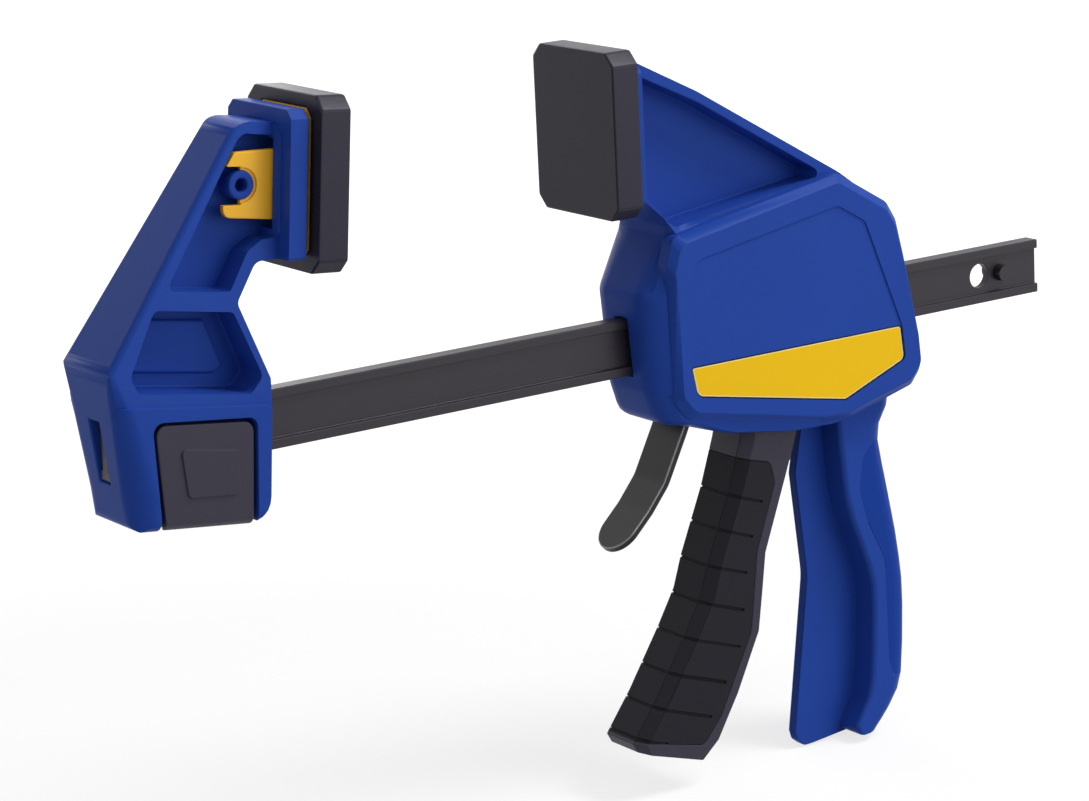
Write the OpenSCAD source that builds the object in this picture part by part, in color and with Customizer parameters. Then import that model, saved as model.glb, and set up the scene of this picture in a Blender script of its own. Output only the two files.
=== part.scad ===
// One-handed quick release bar clamp, with a fixed jaw that a button unlocks
// from the bar and a moving jaw that a trigger walks along it.
// X runs along the bar towards its tail, Y across the clamp, Z up through the jaws.
// The origin is on the bar's centreline, under the clamping face of the fixed pad.

/* [Bar] */
// Length of the bar
bar_l = 391; // [340:1:700]
// Height of the bar's I section
bar_h = 20; // [18:0.5:22]
// Thickness of the bar across its flanges
bar_t = 6.3; // [5:0.1:8]
// Height of each flange of the bar
flange_h = 3.4; // [2.5:0.1:4.5]
// Thickness of the bar's web
web_t = 3.4; // [2.4:0.1:4.4]
// Diameter of the latch hole near each end of the bar
latch_hole_d = 9; // [7:0.5:10]
// Distance from a bar end to its latch hole
latch_inset = 27.4; // [25:0.2:30]
// Diameter of the stop pin at the bar's tail
stop_pin_d = 6; // [4:0.5:7]
// Length of the stop pin
stop_pin_l = 10; // [9:0.5:12]
// Distance from the bar's tail to the stop pin
stop_inset = 17.5; // [12:0.5:19]

/* [Pads] */
// Distance between the clamping faces as the clamp is stored
opening = 103.8; // [95:0.2:112]
// Width of both pads, across the clamp
pad_w = 47.4; // [44:0.2:52]
// Height of both pads
pad_h = 57.2; // [55:0.2:60]
// Thickness of both pads
pad_t = 11; // [10:0.2:13]
// Height of the pads' middle above the bar's centreline
reach = 76.4; // [75:0.2:80]
// Cut on each corner of a pad
pad_cut = 4.4; // [2:0.2:6]
// Lean of the fixed jaw's pad seat towards the moving jaw, in degrees
jaw_lean = 5.3; // [3:0.1:7]

/* [Fixed jaw] */
// Width of the fixed jaw's bar housing
jaw_w = 36.4; // [36:0.2:42]
// Width of the fixed jaw's arm at its top
arm_top_w = 20.2; // [19:0.2:24]
// Length of the bar housing
housing_l = 54; // [52:0.5:58]
// Depth of the bar housing under the bar, at its deeper end
housing_drop = 20; // [18:0.5:22]
// Height of the bar housing above the bar's top
housing_rise = 4; // [3:0.5:7]
// Width of the rim round the recesses in the arm
rim = 4; // [3:0.2:5]
// Thickness of the web between the recesses
arm_web_t = 8; // [6:0.5:10]
// Width of the seat plates that carry the pads
seat_w = 40; // [36:0.5:42]
// Height of the seat plates
seat_h = 48; // [46:0.5:50]
// Thickness of the moving jaw's seat plate
seat_t = 5.2; // [4:0.2:6]
// Thickness of the fixed jaw's seat plate
flange_t = 6.5; // [5:0.1:7]
// Diameter of the two bosses that the pad carrier swivels on
boss_d = 9.4; // [9:0.2:12]

/* [Button] */
// Length of the release button's face
button_l = 34; // [32:0.5:36]
// How far the button travels when pressed
button_travel = 4.6; // [4:0.1:5]
// Thickness of the button's face and legs
button_t = 3.4; // [3:0.1:3.8]
// Diameter of the latch pin that locks the jaw to the bar
latch_pin_d = 8.6; // [6:0.1:8.8]

/* [Moving jaw] */
// Width of the moving jaw's body
body_w = 36.8; // [36:0.2:42]
// Width across the raised cheeks of the body
cheek_w = 42.8; // [42:0.2:48]
// Length of the body along the bar
body_l = 118; // [116:1:130]
// Width of the mechanism's cavity
cavity_w = 26.8; // [26.4:0.2:29]
// Width of the moving jaw's arm at its top
body_top_w = 29.2; // [26:0.2:34]
// Clearance round the bar where it passes through plastic
bar_gap = 0.35; // [0.2:0.05:0.5]

/* [Handle] */
// Length of the handle below the bar's centreline
handle_l = 161; // [155:1:175]
// Width of the grip's rear rim
grip_w = 26.4; // [25:0.2:30]
// Thickness of the grip's web, which the trigger closes over
grip_web_t = 4.4; // [3:0.2:8]
// Width of the trigger
trigger_w = 23.6; // [23.4:0.1:24.2]
// Wall of the trigger
trigger_wall = 3.2; // [2.8:0.1:3.3]
// Radius of the rounded back of the grip's rim
grip_round = 8; // [4:0.5:9]
// Thickness of the soft skins on the trigger and the palm side
skin_t = 2; // [1.6:0.1:2.2]
// Height of the trigger's pivot above the bar's centreline
pivot_z = 24; // [22:0.5:25]
// Diameter of the trigger's pivot pin
pivot_d = 6; // [5:0.5:7]

/* [Mechanism] */
// Thickness of the drive plate
drive_t = 4; // [3:0.2:5]
// Height of the drive plate
drive_h = 36; // [34:0.5:38]
// Width of the drive plate
drive_w = 23; // [22.4:0.2:24]
// Wire of the drive spring
drive_wire = 1.6; // [1.2:0.1:1.8]
// Width of the release lever
lever_w = 18; // [16:0.5:20]
// Thickness of the release lever
lever_t = 2.6; // [2:0.1:3]
// Wire of the brake spring
brake_wire = 0.9; // [0.7:0.1:1]

/* [Hidden] */

$fn = 48;
BLUE = [0.13, 0.22, 0.60];
DARK = [0.22, 0.22, 0.27];
BLACK = [0.14, 0.14, 0.16];
YELLOW = [0.98, 0.76, 0.10];
STEEL = [0.25, 0.25, 0.26];
BRIGHT = [0.72, 0.73, 0.75];

// Running clearance on a pin or boss, on the radius
run_gap = 0.06;
// Clearance between faces that slide or seat beside each other
slip = 0.3;
// How far a cut runs past the face it opens
over = 1;
// Facets round a corner of an outline
corner_steps = 6;

bar_top = bar_h / 2;
// The fixed jaw's left face stands a little past the bar's end
jaw_end = -85.2;
bar_start = jaw_end + 3.2;
bar_end = bar_start + bar_l;
latch_x = bar_start + latch_inset;
tail_hole_x = bar_end - latch_inset;
stop_x = bar_end - stop_inset;

// ---------------------------------------------------------------- outlines

function unit(v) = v / norm(v);
// A corner [x, z, r] between its neighbours, rounded with radius r
function corner(a, p, b, steps) =
    let (
        u = unit([a[0] - p[0], a[1] - p[1]]),
        v = unit([b[0] - p[0], b[1] - p[1]]),
        r = len(p) > 2 ? p[2] : 0,
        half = acos(max(-1, min(1, u * v))) / 2
    )
    r <= 0 || half > 89.99 ? [[p[0], p[1]]] :
    let (
        c = [p[0], p[1]] + unit(u + v) * r / sin(half),
        s = [p[0], p[1]] + u * r / tan(half) - c,
        e = [p[0], p[1]] + v * r / tan(half) - c,
        a0 = atan2(s[1], s[0]),
        turn = atan2(s[0] * e[1] - s[1] * e[0], s * e)
    )
    [for (i = [0 : steps]) c + r * [cos(a0 + turn * i / steps), sin(a0 + turn * i / steps)]];
function outline(pts, steps = corner_steps) =
    [for (i = [0 : len(pts) - 1])
        each corner(pts[(i + len(pts) - 1) % len(pts)], pts[i], pts[(i + 1) % len(pts)], steps)];

// A side-view outline in X and Z, standing from y0 to y1
module slab(pts, y0, y1) {
    translate([0, y1, 0])
        rotate([90, 0, 0])
            linear_extrude(y1 - y0)
                polygon(outline(pts));
}

// The same slab on both sides of the middle plane, from inner to outer
module both_sides(pts, inner, outer) {
    slab(pts, -outer, -inner);
    slab(pts, inner, outer);
}

// A block from one corner to the opposite one
module block(low, high) {
    translate(low)
        cube(high - low);
}

// A cylinder along Y
module rod_y(x, z, d, y0, y1) {
    translate([x, y1, z])
        rotate([90, 0, 0])
            cylinder(d = d, h = y1 - y0);
}

// A solid through rings that hold the same number of points
module loft(rings) {
    n = len(rings[0]);
    last = len(rings) - 1;
    polyhedron(
        points = [for (ring = rings) each ring],
        faces = concat(
            [[for (i = [0 : n - 1]) i]],
            [for (k = [0 : last - 1], i = [0 : n - 1])
                [k * n + i, (k + 1) * n + i, (k + 1) * n + (i + 1) % n, k * n + (i + 1) % n]],
            [[for (i = [n - 1 : -1 : 0]) last * n + i]]
        ),
        convexity = 6
    );
}

// A coil spring along +X from the origin
module coil(radius, wire, length, turns) {
    sides = 8;
    steps = 14;
    pitch = (length - wire) / turns;
    function wire_ring(k) =
        let (a = 360 * k / steps, x = wire / 2 + pitch * k / steps)
        [for (i = [0 : sides - 1])
            let (b = 360 * i / sides, r = radius + wire / 2 * cos(b))
            [x + wire / 2 * sin(b), r * cos(a), r * sin(a)]];
    loft([for (k = [0 : turns * steps]) wire_ring(k)]);
}

// An eight-sided plate in Y and Z from x0 to x1, with its upper and lower corners cut
module cut_plate(w, h, cut, low_cut, x0, x1) {
    translate([x0, 0, 0])
        rotate([90, 0, 90])
            linear_extrude(x1 - x0)
                polygon([
                    [-w / 2 + low_cut, -h / 2], [w / 2 - low_cut, -h / 2], [w / 2, -h / 2 + low_cut],
                    [w / 2, h / 2 - cut], [w / 2 - cut, h / 2], [-w / 2 + cut, h / 2], [-w / 2, h / 2 - cut],
                    [-w / 2, -h / 2 + low_cut]
                ]);
}

// A prism along X whose half width falls from one half to the other between two heights,
// and stays as it is above and below them
module taper(low_half, low_z, top_half, top_z, x0, x1) {
    translate([x0, 0, 0])
        rotate([90, 0, 90])
            linear_extrude(x1 - x0)
                polygon([
                    [-low_half, -bar_h * 4], [low_half, -bar_h * 4], [low_half, low_z], [top_half, top_z],
                    [top_half, top_z + bar_h * 4], [-top_half, top_z + bar_h * 4], [-top_half, top_z],
                    [-low_half, low_z]
                ]);
}

// A block through plan sections, from the top one down to the lowest. Each is
// [height, front, half width, radius of its two front edges], and the block's back is at x1
module plan_block(sections, x1) {
    loft([for (p = sections)
        let (x = p[1] + p[3], y = p[2] - p[3])
        concat(
            [[x1, -p[2], p[0]]],
            [for (i = [0 : corner_steps]) let (a = 90 * i / corner_steps)
                [x - p[3] * sin(a), -y - p[3] * cos(a), p[0]]],
            [for (i = [0 : corner_steps]) let (a = 90 * i / corner_steps)
                [x - p[3] * cos(a), y + p[3] * sin(a), p[0]]],
            [[x1, p[2], p[0]]]
        )]);
}

// The bar's path through a plastic part
module bar_slot(x0, x1) {
    block([x0, -bar_t / 2 - bar_gap, -bar_top - bar_gap], [x1, bar_t / 2 + bar_gap, bar_top + bar_gap]);
}

// ---------------------------------------------------------------- bar

module bar() {
    color(STEEL)
        difference() {
            block([bar_start, -bar_t / 2, -bar_top], [bar_end, bar_t / 2, bar_top]);
            for (s = [-1, 1])
                translate([bar_start - over, s * (web_t / 2 + bar_t) - bar_t, -bar_top + flange_h])
                    cube([bar_l + 2 * over, 2 * bar_t, bar_h - 2 * flange_h]);
            for (x = [latch_x, tail_hole_x])
                rod_y(x, 0, latch_hole_d, -bar_t, bar_t);
            rod_y(stop_x, 0, stop_pin_d, -bar_t, bar_t);
        }
}

module stop_pin() {
    color(STEEL)
        rod_y(stop_x, 0, stop_pin_d, -stop_pin_l / 2, stop_pin_l / 2);
}

// ---------------------------------------------------------------- fixed jaw

housing_x = jaw_end + housing_l;
housing_top = bar_top + housing_rise;
housing_low = -bar_top - housing_drop;
// The seat plate's front face, behind the fixed pad's clamping face
seat_x = -(pad_t + 2.5);
seat_up = 24.2 - seat_h / 2;
// The seat plate is thicker behind, where the arm meets it
collar_w = 29.2;
collar_t = 1.2;
// The bosses are level with the pad's middle
boss_x = -32.4;
boss_l = 7;
arm_top_z = 99.8;
neck_z = 43;
// Height of the crease across the back of the jaw
kink_z = 27.4;

// Puts a shape into the leaning frame of the fixed pad, whose origin is mid pad on its clamping face
module leaning() {
    translate([0, 0, reach])
        rotate([0, jaw_lean, 0])
            children();
}

// The jaw's left face leans back towards its foot
face_lean = 0.111;
face_set = 1.45;
function face_x(z) = jaw_end + face_set - face_lean * z;
// The housing's foot is higher at the left face
foot_z = housing_low + 5.6;
foot_x1 = housing_x - 2.5;

arm_side = [
    [face_x(kink_z), kink_z, 9], [-31.9, arm_top_z, 9], [-17.5, arm_top_z - 2.4], [-20.5, 54.6],
    [-30.6, 55, 4], [-38.8, neck_z, 3], [housing_x + 1.5, 17.5, 2], [housing_x + 1, housing_top - 8],
    [face_x(housing_top - 8), housing_top - 8]
];
housing_side = [
    [face_x(housing_top + 3), housing_top + 3], [face_x(foot_z), foot_z, 4],
    [foot_x1, housing_low, 9], [housing_x + 0.8, housing_top - 5, 2]
];
upper_recess = [
    [-63.4 + (rim - 4), 50.3, 2], [-41 - (rim - 4), 46.8, 2], [-33.2, 58.6, 3], [-27.5, 61.6, 2],
    [-18.6, 61.6],
    [-18.6, arm_top_z - rim - 2.2], [-31, arm_top_z - rim - 0.1, 5], [-40.5, 82.5]
];
lower_recess = [
    [-68.4 + (rim - 4), 45.2, 3], [-40.6 - (rim - 4), 40.4, 2], [-32.4 - (rim - 4), 18.5, 3],
    [-37.2, 13.6, 3], [-77, 20.3, 3], [-79.2 + (rim - 4), 25.6, 3]
];
lower_panel = [
    [-66, 40.4, 1], [-46, 37.2, 1], [-40.5, 21.6, 1.5], [-43.5, 19.6, 1.5], [-73, 24.6, 1.5], [-73.5, 27.5, 1]
];

// The arm narrows from the bar housing up to the pad seat, and its foot stands in from the housing
arm_foot = jaw_w / 2 - 0.9;
function arm_half(z) =
    arm_foot + (arm_top_w / 2 - arm_foot) * (z - housing_top) / (arm_top_z - housing_top);
// Their left edges grow rounder towards the foot. The faces of these plans stand a little outside
face_out = 0.05;
arm_plan = [
    [arm_top_z + over, -31.2, arm_half(arm_top_z + over), 2.2],
    [kink_z, face_x(kink_z) - face_out, arm_half(kink_z), 2.6],
    [housing_top, face_x(housing_top) - face_out, arm_foot, 6],
    [housing_top - 9, face_x(housing_top - 9) - face_out, arm_foot, 7.5]
];
housing_plan = [
    [housing_top + 4, face_x(housing_top + 4) - face_out, jaw_w / 2, 5.5],
    [bar_top, face_x(bar_top) - face_out, jaw_w / 2, 7],
    [-bar_top - 4, face_x(-bar_top - 4) - face_out, jaw_w / 2, 9.5],
    [housing_low - over, face_x(housing_low - over) - face_out, jaw_w / 2, 9]
];
// Radius of the housing's lower edges
foot_round = 5;

// The housing's section across the bar, along its sloping foot. The button follows it too
module housing_section() {
    rise = housing_top + 4 * over - housing_low;
    translate([face_x(foot_z), 0, foot_z])
        rotate([0, atan2(foot_z - housing_low, foot_x1 - face_x(foot_z)), 0])
            rotate([90, 0, 90])
                translate([0, 0, -8 * over])
                    linear_extrude(housing_l + 16 * over)
                        polygon(outline([
                            [-jaw_w / 2, rise], [-jaw_w / 2, 0, foot_round],
                            [jaw_w / 2, 0, foot_round], [jaw_w / 2, rise]
                        ]));
}

// The button's face, as a side outline with a given gap all round
button_x0 = latch_x - button_l / 2 - 0.9;
button_x1 = button_x0 + button_l + 1.3;
button_top = 9.4;
// Gap round the button's face
button_gap = 1.2;
function button_side(gap, low) = [
    [button_x0 - gap, button_top + gap, 3.5], [button_x1 + gap, button_top - 4.6 + gap, 3.5],
    [button_x1 - 2.4 + gap, low], [button_x0 + 1.4 - gap, low + 3.8]
];
// The button's face is flush with the housing, and its far leg passes behind the bar
button_y = -jaw_w / 2 + 0.6;
leg_y0 = bar_t / 2 + 3.2;
leg_y1 = leg_y0 + button_t;
leg_x0 = latch_x - 7.5;
leg_x1 = latch_x + 7.5;
leg_top = 8;
yoke_top = -bar_top - 2.2;
button_low = housing_low + 1.1;
yoke_low = housing_low + 4.6;
press_room = button_travel + slip;

module button_room() {
    // Pocket for the face, with room for its travel
    slab(button_side(button_gap, housing_low - 3), -jaw_w / 2 - over, button_y + button_t + press_room);
    // Way of the yoke under the bar, open at the bottom
    block([leg_x0 - slip, -jaw_w / 2, housing_low - 2],
        [leg_x1 + slip, leg_y1 + press_room, yoke_top + slip]);
    // Way of the far leg
    block([leg_x0 - slip, leg_y0 - slip, yoke_top - over],
        [leg_x1 + slip, leg_y1 + press_room, leg_top + slip]);
    rod_y(latch_x, 0, latch_pin_d + 2 * slip, 0, leg_y0);
    // Seat of the button's spring
    rod_y(latch_x, 0, spring_room_d, button_y + button_t, -bar_t / 2 - spring_floor);
}

spring_room_d = 10;
spring_floor = 1.4;

module fixed_jaw() {
    color(BLUE)
        difference() {
            union() {
                difference() {
                    intersection() {
                        slab(arm_side, -jaw_w / 2, jaw_w / 2);
                        plan_block(arm_plan, 0);
                    }
                    both_sides(upper_recess, arm_web_t / 2, jaw_w);
                    both_sides(lower_recess, arm_web_t / 2 - 0.5, jaw_w);
                }
                intersection() {
                    slab(housing_side, -jaw_w / 2, jaw_w / 2);
                    plan_block(housing_plan, 0);
                    housing_section();
                }
                both_sides(lower_panel, 0, arm_web_t / 2 + 1);
                leaning() {
                    translate([0, 0, seat_up])
                        cut_plate(seat_w, seat_h, 3, 1, seat_x - flange_t, seat_x);
                    cut_plate(collar_w, 38, 4, 4, seat_x - flange_t - collar_t, seat_x - flange_t + 1);
                    rod_y(boss_x, 0, boss_d, -arm_web_t / 2 - boss_l, arm_web_t / 2 + boss_l);
                }
            }
            leaning()
                for (s = [-1, 1]) {
                    hook_window(s);
                    rod_y(boss_x, 0, 4.2, s > 0 ? arm_web_t / 2 + 1 : -20, s > 0 ? 20 : -arm_web_t / 2 - 1);
                }
            bar_slot(jaw_end - 5, housing_x + 5);
            button_room();
        }
}

// ---------------------------------------------------------------- swivel pad

carrier_w = 33;
carrier_h = 48;
// The carrier's plate is let into the pad's back, flush with it
carrier_t = 1.8;
carrier_x = -pad_t + carrier_t;
hook_h = 22.6;
hook_t = 2.2;
hook_y = arm_web_t / 2 + boss_l - hook_t - 0.2;
// Width and depth of the open ring round the boss in a hook's face
ring_w = 1;
ring_depth = 0.8;

// The way of one of the carrier's hooks through the seat plate
module hook_window(s) {
    y = s * (arm_web_t / 2 + hook_y + hook_t + slip) / 2;
    half = (hook_y + hook_t + slip - arm_web_t / 2) / 2;
    block([seat_x - flange_t - collar_t - over, y - half, -hook_h / 2 - 3.2],
        [seat_x + over, y + half, hook_h / 2 + 3.2]);
}

module pad_carrier() {
    color(YELLOW)
        leaning() {
            cut_plate(carrier_w, carrier_h, 3, 3, -pad_t, carrier_x);
            difference() {
                both_sides([
                    [boss_x - 2.6, hook_h / 2 - 0.8, 1], [carrier_x - 1, hook_h / 2 + 0.3],
                    [carrier_x - 1, -hook_h / 2 - 0.9], [boss_x - 6.5, -hook_h / 2 + 1.1, 3],
                    [boss_x - 6.5, 4.4]
                ], hook_y, hook_y + hook_t);
                rod_y(boss_x, 0, boss_d + 2 * run_gap, -jaw_w, jaw_w);
                for (s = [-1, 1])
                    rod_y(boss_x, 0, boss_d + 2 * ring_w, s > 0 ? hook_y + hook_t - ring_depth : -jaw_w,
                        s > 0 ? jaw_w : -hook_y - hook_t + ring_depth);
                // The hooks slide over the bosses through this mouth
                both_sides([
                    [boss_x - 12, 6.3], [boss_x, 5.9], [boss_x, -6.3], [boss_x - 12, -6.2]
                ], hook_y - over, hook_y + hook_t + over);
            }
        }
}

module fixed_pad() {
    color(BLACK)
        leaning()
            difference() {
                cut_plate(pad_w, pad_h, pad_cut, pad_cut, -pad_t, 0);
                cut_plate(carrier_w, carrier_h, 3, 3, -pad_t - over, carrier_x);
            }
}

// ---------------------------------------------------------------- lock button

module lock_button() {
    color(DARK) {
        intersection() {
            slab(button_side(0, button_low), button_y, button_y + button_t);
            housing_section();
        }
        // Raised thumb pad
        slab([
            [latch_x - 9.6, 0.4, 1.5], [latch_x + 10.9, -3.4, 1.5],
            [latch_x + 10.6, -18, 2], [latch_x - 8.1, -15.8, 2]
        ], button_y - 0.7, button_y);
        // Yoke under the bar and the leg behind it
        block([leg_x0, button_y + button_t, yoke_low], [leg_x1, leg_y1, yoke_low + button_t]);
        difference() {
            block([leg_x0, leg_y0, yoke_low + button_t], [leg_x1, leg_y1, leg_top]);
            rod_y(latch_x, 0, latch_pin_d, leg_y0 - over, leg_y1 + over);
        }
    }
}

module lock_pin() {
    color(BRIGHT)
        rod_y(latch_x, 0, latch_pin_d, -web_t / 2 + 0.8, leg_y1);
}

module button_spring() {
    spring_y0 = button_y + button_t;
    color(BRIGHT)
        translate([latch_x, spring_y0 + 0.1, 0])
            rotate([0, 0, 90])
                coil(spring_room_d / 2 - 0.9, 0.7, -bar_t / 2 - spring_floor - spring_y0 - 0.2, 3.5);
}

// ---------------------------------------------------------------- moving jaw
// Its pieces are drawn from the moving pad's clamping face, and then moved out to the opening

module at_opening() {
    translate([opening, 0, 0])
        children();
}

body_front = pad_t + 4.7;
body_rear = body_front + body_l;
body_floor = -bar_top - 29;
arm_back_z = 51;
arm_tip_z = arm_top_z + 1.2;
cavity_top = pivot_z + 9;
front_round = 10.5;

// The body's outline at its middle, and where it meets its flanks
body_mid = [
    [pad_t + 3.6, arm_tip_z], [body_front + 25.5, 87.4, 30], [body_rear - 31.5, arm_back_z, 30],
    [body_rear - 11.5, 36.5, 6], [body_rear - 7, 20, 20], [body_rear + 1, -22, 6],
    [body_rear - 0.4, -28, 4], [body_rear - 15.5, -33, 10], [body_rear - 30.5, body_floor + 1, 8],
    [body_rear - 40, body_floor, 10], [body_rear - 57.5, body_floor + 0.6, 20],
    [body_front + 32, body_floor + 4.8, 20],
    [body_front + 14.5, -28.8, 6], [body_front + 6, -27, 7], [body_front + 2, -15, 10],
    [body_front - 0.8, 19, 6], [body_front + 13.3, 41, 7], [pad_t + 3.6, 55, 2]
];
body_pull = [
    [0, 0], [0, 0], [0, 0], [-3, 0], [-3, 0], [-3, 0], [-3, 1], [-2, 1], [0, 1], [0, 1], [0, 1], [1, 1],
    [4, 1.5], [8, 2], [front_round, 0], [front_round, 0], [3, 2], [0, 0]
];
// The far cheek's upper front corner is cut back
function cheek_side(cut) = [
    [body_front + 9.9 + cut, 39.5 + 0.17 * cut, 5], [body_front + 45, 45.4, 20], [body_rear - 35.5, 51.6, 5],
    [body_rear - 13.6, 38.4, 5], [body_rear - 9.7, 32, 6], [body_rear - 6.2, 17.6, 20],
    [body_rear - 0.6, -14, 15], [body_rear + 0.4, -24.6, 5], [body_rear - 4, -30, 4],
    [body_rear - 16, -32.6, 15], [body_rear - 33, -37.2, 8], [body_front + 73, -36.8, 20],
    [body_front + 13.5, -25.2, 7], [body_front + 8.6, -19, 6],
    [body_front + 6.8 + 0.3 * cut, 30 - 0.4 * cut, 8]
];
arm_recess = [
    [pad_t + 4, 96.4, 1.5], [body_front + 25.6, 83.5, 20], [body_rear - 37.4, 50.8, 2],
    [body_front + 13.5, 42, 2], [pad_t + 4, 57.4, 1]
];
// The shallow panel on each cheek, and the coloured band along its foot
panel_side = [
    [body_front + 16.8, 30.4, 4], [body_rear - 37.9, 40.8, 5], [body_rear - 25.7, 33.6, 5],
    [body_rear - 9.9, -6.6, 3], [body_rear - 8.5, -19.4, 3], [body_rear - 36.3, -29.8, 4],
    [body_front + 16.3, -17.4, 4], [body_front + 14.1, -6.4, 3]
];
band_side = [
    [body_front + 14.1, -6.4, 1], [body_rear - 10.1, -6.6, 1.5], [body_rear - 8.5, -19.4, 3],
    [body_rear - 36.3, -29.8, 4], [body_front + 16.3, -17.4, 4]
];
panel_depth = 0.5;

// Distance from the back of the body to the trigger's pivot, which carries the handle with it
pivot_back = 47.5;
trigger_axis_x = body_rear - pivot_back;
// Distance from the pivot back to the drive plate
drive_push = 8.6;
// Thickness of the body behind its cavity
rear_wall_t = 14;
rear_wall_x = body_rear - rear_wall_t;
lever_axis = [body_front + 27.7, 20.5];
spring_rib_x = lever_axis[0] + 13;
// The arm stands on the body between these two heights
arm_low_z = 34;
arm_high_z = 43.5;

cavity_side = [
    [body_front + 15.8, cavity_top - 4, 3], [body_front + 34, cavity_top, 3], [rear_wall_x, cavity_top, 3],
    [rear_wall_x, -28, 3], [trigger_axis_x + 13.4, -34], [trigger_axis_x + 13.4, body_floor - 8],
    [trigger_axis_x - 29.8, body_floor - 8], [trigger_axis_x - 29.8, -40], [body_front + 17.3, -36]
];
grip_web = [
    [6.2, -30], [5.2, -43], [2, -59, 6], [6.2, -97.6, 25], [-1.6, -handle_l + 5, 1],
    [-0.6, -handle_l + 1.6, 2], [2.8, -handle_l - 1.2, 3], [25.8, -handle_l + 1], [31.8, -100], [21.8, -30]
];
// Up the grip's rim: height, front face, back
rim_line = [
    [-159.8, 21.2, 30.8], [-158.4, 19.4, 32], [-156, 19, 34.4], [-152, 21.4, 38],
    [-146, 25, 42.2], [-140, 26.4, 44.1], [-128, 27.4, 45.1], [-114, 28, 45.6],
    [-104, 27.9, 45.4], [-96, 26.1, 44.5], [-86, 22.4, 43], [-76, 18.6, 41],
    [-68, 16.7, 39.4], [-60, 15.7, 37.7], [-50, 14.7, 35.8], [-44, 14.3, 36.6],
    [-38, 13.9, 40.2], [-30, 13.6, 41.8]
];
palm_side = [
    [37.8, -46], [29.6, -49.6, 3], [24.4, -55, 6], [22.6, -66, 10], [26.4, -80, 20], [33.8, -95, 15],
    [34.6, -133.5, 10], [36.8, -139.6, 1], [53.8, -142], [53.8, -46]
];

// Puts what is drawn from the trigger's pivot on its place in the moving jaw
module from_pivot() {
    translate([trigger_axis_x, 0, 0])
        children();
}

// The rim of the grip, drawn in by k on its sides and back
module grip_rim(k) {
    half = grip_w / 2 - k;
    r = grip_round - k;
    cut = 1.2;
    loft([for (p = rim_line) concat(
        [[p[1], -half + cut, p[0]], [p[1] + cut, -half, p[0]]],
        [for (i = [0 : corner_steps]) let (a = -90 + 90 * i / corner_steps)
            [p[2] - k - r + r * cos(a), -half + r + r * sin(a), p[0]]],
        [for (i = [0 : corner_steps]) let (a = 90 * i / corner_steps)
            [p[2] - k - r + r * cos(a), half - r + r * sin(a), p[0]]],
        [[p[1] + cut, half, p[0]], [p[1], half - cut, p[0]]]
    )]);
}

module palm_skin_room() {
    difference() {
        intersection() {
            grip_rim(0);
            slab(palm_side, -grip_w, grip_w);
        }
        grip_rim(skin_t);
    }
}

// How far the far cheek's corner is cut back
far_cheek_cut = 7;

// A cheek with a bevelled edge, on the side s
module cheek(s) {
    root = body_top_w / 2 - over;
    inner = body_w / 2;
    outer = cheek_w / 2;
    bevel = outer - inner;
    side = cheek_side(s > 0 ? far_cheek_cut : 0);
    function shrunk(k) = [for (p = side)
        [p[0] + (p[0] > 80 ? -k : k) * 0.6, p[1] + (p[1] > 5 ? -k : k) * 0.9, len(p) > 2 ? p[2] : 0]];
    hull() {
        slab(side, s > 0 ? root : -inner - 0.1, s > 0 ? inner + 0.1 : -root);
        slab(shrunk(bevel), s > 0 ? outer - 0.1 : -outer, s > 0 ? outer : -outer + 0.1);
    }
}

// Rings across the body, whose front is rounded from side to side
function body_ring(y, pull) = [for (p = outline([for (i = [0 : len(body_mid) - 1])
    [body_mid[i][0] + pull * body_pull[i][0], body_mid[i][1] + pull * body_pull[i][1],
        len(body_mid[i]) > 2 ? body_mid[i][2] : 0]], 3)) [p[0], y, p[1]]];
module body_block() {
    steps = 4;
    flat = body_w / 2 - front_round;
    near = [for (i = [steps : -1 : 0]) let (a = 90 * i / steps)
        body_ring(-flat - front_round * sin(a), 1 - cos(a))];
    far = [for (i = [0 : steps]) let (a = 90 * i / steps)
        body_ring(flat + front_round * sin(a), 1 - cos(a))];
    loft(concat(near, far));
}

module moving_jaw() {
    color(BLUE)
        at_opening()
            difference() {
                union() {
                    difference() {
                        intersection() {
                            body_block();
                            taper(body_w / 2 + over, arm_low_z, body_top_w / 2, arm_high_z, 0,
                                body_rear + 4 * over);
                        }
                        both_sides(arm_recess, arm_web_t / 2, body_w);
                    }
                    cheek(-1);
                    cheek(1);
                    translate([0, 0, reach])
                        cut_plate(seat_w, seat_h, 3, 1, pad_t - seat_t + 1, pad_t + 3.7);
                    from_pivot() {
                        slab(grip_web, -grip_web_t / 2, grip_web_t / 2);
                        difference() {
                            grip_rim(0);
                            palm_skin_room();
                        }
                    }
                }
                both_sides(panel_side, cheek_w / 2 - panel_depth, cheek_w);
                both_sides(band_side, cheek_w / 2 - 2 * panel_depth, cheek_w);
                mechanism_room();
                bar_slot(0, body_rear + 10);
            }
}

module mechanism_room() {
    difference() {
        slab(cavity_side, -cavity_w / 2, cavity_w / 2);
        // The grip's web stays whole where the cavity opens over it
        from_pivot()
            slab(grip_web, -grip_web_t / 2, grip_web_t / 2);
        // Rib that the brake spring pushes against
        block([spring_rib_x - 3, -cavity_w, -bar_top - 22], [spring_rib_x, cavity_w, -bar_top - 3]);
        // Shelf over the release lever's head
        block([lever_axis[0] - 13.4, -cavity_w, lever_axis[1] + 5],
            [lever_axis[0] + 6.6, cavity_w, cavity_top + over]);
    }
    rod_y(trigger_axis_x, pivot_z, pivot_d, -body_w / 2 + 2, body_w);
    // Groove that the lever's head rocks in
    rod_y(lever_axis[0], lever_axis[1], lever_head_d + 2 * run_gap, -lever_w / 2 - slip, lever_w / 2 + slip);
}

lever_head_d = 6;

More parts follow.
